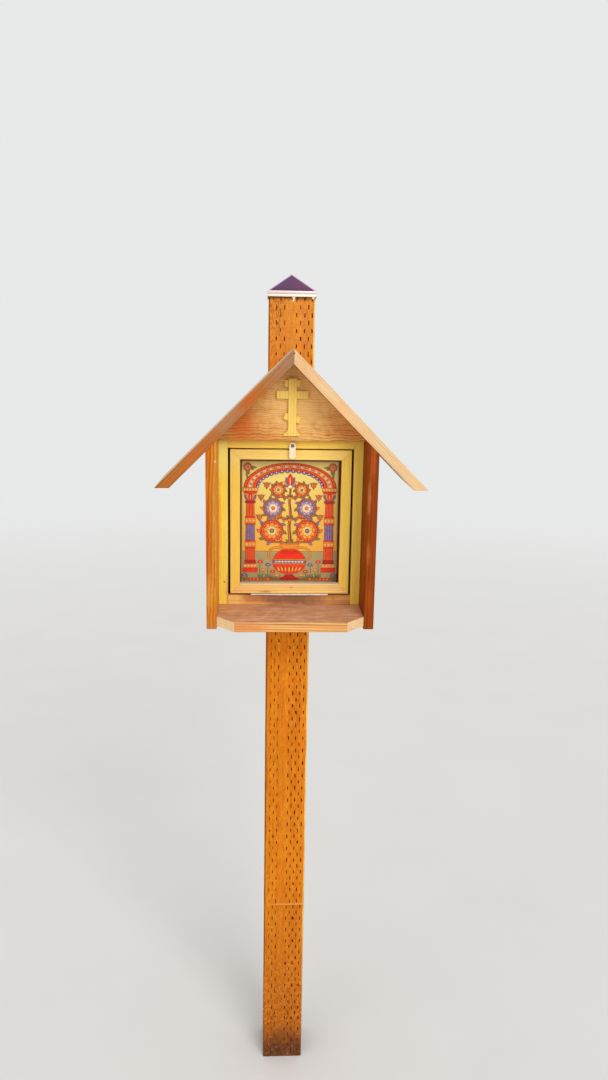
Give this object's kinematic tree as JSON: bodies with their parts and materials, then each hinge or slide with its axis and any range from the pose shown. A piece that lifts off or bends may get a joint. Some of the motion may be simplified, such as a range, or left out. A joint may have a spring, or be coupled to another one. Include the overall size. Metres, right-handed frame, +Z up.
{
  "type": "wayside shrine",
  "caption": "Wooden wayside icon shrine: a glazed case with a gabled roof, shelf and three-bar cross on a square capped post; its door drops forward on a strip hinge.",
  "frame": {"origin": "middle of the post's flat foot, at ground level", "axes": "+Z up along the post, -Y towards the viewer and the glazed front, +X to the viewer's right"},
  "size_m": [0.501, 0.2778, 1.7582],
  "materials": {
    "post_wood": "incised pressure-treated softwood, orange-brown stain",
    "cap_copper": "tarnished copper sheet, dark maroon, bright skirt",
    "side_wood": "clear-coated red-brown cedar",
    "roof_wood": "clear-coated cedar boards",
    "gable_wood": "clear-coated cedar, grain level",
    "frame_wood": "golden clear-coated pine",
    "door_wood": "golden clear-coated pine, mitred corners",
    "shelf_wood": "clear-coated softwood, pinkish brown",
    "back_wood": "stained softwood",
    "icon_board_wood": "stained plywood",
    "icon_paper": "printed ornament on gold ground",
    "cross_wood": "pale golden varnish",
    "button_wood": "bare pale wood",
    "clear_glass": "clear window glass",
    "hinge_steel": "zinc plated strip hinge",
    "screw_steel": "dull dark screw"
  },
  "bodies": {
    "root": {"post": "post_wood", "post_cap": "cap_copper", "back_board": "back_wood", "left_side_board": "side_wood", "right_side_board": "side_wood", "left_roof_board": "roof_wood", "right_roof_board": "roof_wood", "gable_panel": "gable_wood", "shelf": "shelf_wood", "left_frame_stile": "frame_wood", "right_frame_stile": "frame_wood", "frame_top_rail": "frame_wood", "frame_bottom_rail": "frame_wood", "icon_board": "icon_board_wood", "icon_print": "icon_paper", "cross_upright": "cross_wood", "cross_foot": "cross_wood", "cross_main_bar": "cross_wood", "cross_top_bar": "cross_wood", "cross_slanted_bar": "cross_wood", "button_screw": "screw_steel", "hinge_frame_leaf": "hinge_steel", "hinge_pin": "hinge_steel"},
    "door": {"door_left_stile": "door_wood", "door_right_stile": "door_wood", "door_top_rail": "door_wood", "door_bottom_rail": "door_wood", "door_glass": "clear_glass", "glass_bead_left": "door_wood", "glass_bead_right": "door_wood", "glass_bead_top": "door_wood", "glass_bead_bottom": "door_wood", "hinge_door_leaf": "hinge_steel"},
    "turn_button": {"turn_button": "button_wood"}
  },
  "joints": [
    {"name": "door_hinge", "type": "hinge", "parent": "root", "child": "door", "pos_m": [0, -0.117, 1.14355], "axis": [1, 0, 0], "range_deg": [0, 98]},
    {"name": "button_turn", "type": "hinge", "parent": "root", "child": "turn_button", "pos_m": [0.002, -0.1195, 1.4374], "axis": [0, -1, 0], "range_deg": [-90, 90]}
  ]
}
